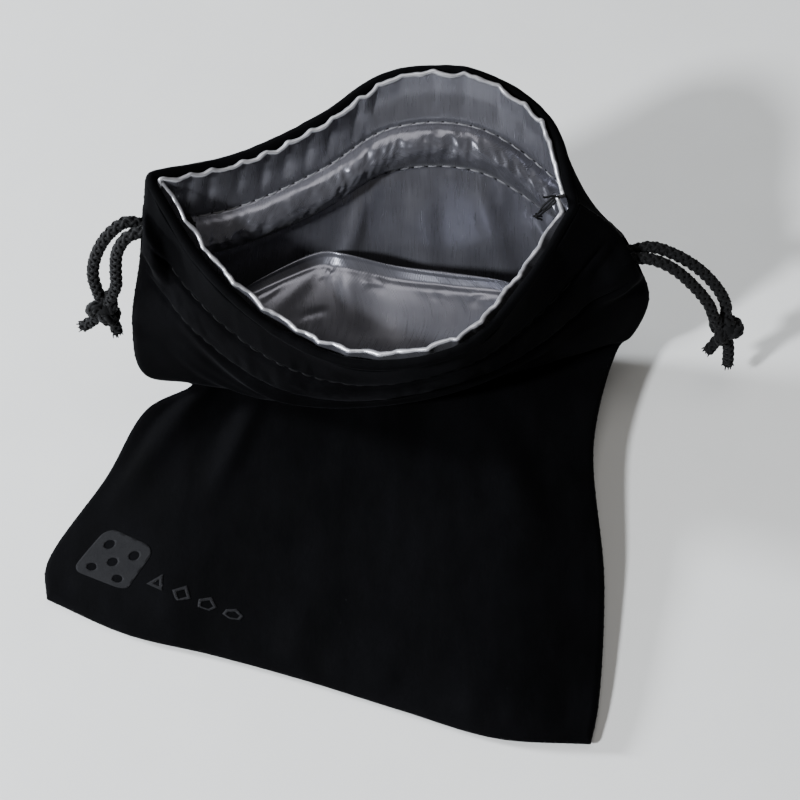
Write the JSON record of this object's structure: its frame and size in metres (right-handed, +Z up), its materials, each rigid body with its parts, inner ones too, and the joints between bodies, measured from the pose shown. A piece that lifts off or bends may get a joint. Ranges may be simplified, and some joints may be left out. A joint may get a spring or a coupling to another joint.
{
  "type": "drawstring dice bag",
  "caption": "Soft lined drawstring pouch for dice, lying half upright with its mouth open, with pull cords that leave both sides and end in knots.",
  "frame": {"origin": "on the surface that the bag rests on, under the middle of the bag", "axes": "+Z up, -Y towards the bottom seam and the mouth's low side, +X towards the side with the longer free cord"},
  "size_m": [0.159, 0.1315, 0.0704],
  "materials": {
    "velvet": "short black velvet pile",
    "satin": "silver-grey satin with a soft gloss",
    "cord": "braided black cord",
    "thread": "black sewing thread",
    "print": "dim grey ink pressed into the pile"
  },
  "bodies": {
    "bag": {"velvet_front_panel": "velvet", "velvet_back_panel": "velvet", "lining_front_panel": "satin", "lining_back_panel": "satin", "velvet_rim_fold": "velvet", "satin_rim_edge": "satin", "channel_stitch_upper_front": "thread", "channel_stitch_lower_front": "thread", "channel_stitch_upper_back": "thread", "channel_stitch_lower_back": "thread", "side_seam_left": "thread", "side_seam_right": "thread", "header_seam_left": "thread", "header_seam_right": "thread", "bottom_seam": "thread", "left_cord_run": "cord", "right_cord_run": "cord", "printed_die_face": "print", "printed_shape_3_sides": "print", "printed_shape_4_sides": "print", "printed_shape_5_sides": "print", "printed_shape_6_sides": "print"},
    "right_cord_end": {"right_cord_front_strand": "cord", "right_cord_back_strand": "cord", "right_cord_knot": "cord"},
    "left_cord_end": {"left_cord_front_strand": "cord", "left_cord_back_strand": "cord", "left_cord_knot": "cord"}
  },
  "joints": [
    {"name": "cord_pull_right", "type": "slide", "parent": "bag", "child": "right_cord_end", "axis": [0.9929, 0.1191, 0], "range_m": [0, 0.06]},
    {"name": "cord_pull_left", "type": "slide", "parent": "bag", "child": "left_cord_end", "axis": [-0.9929, -0.1191, 0], "range_m": [0, 0.06]}
  ],
  "couplings": [
    {"joint": "cord_pull_left", "follows": "cord_pull_right", "ratio": 1}
  ]
}
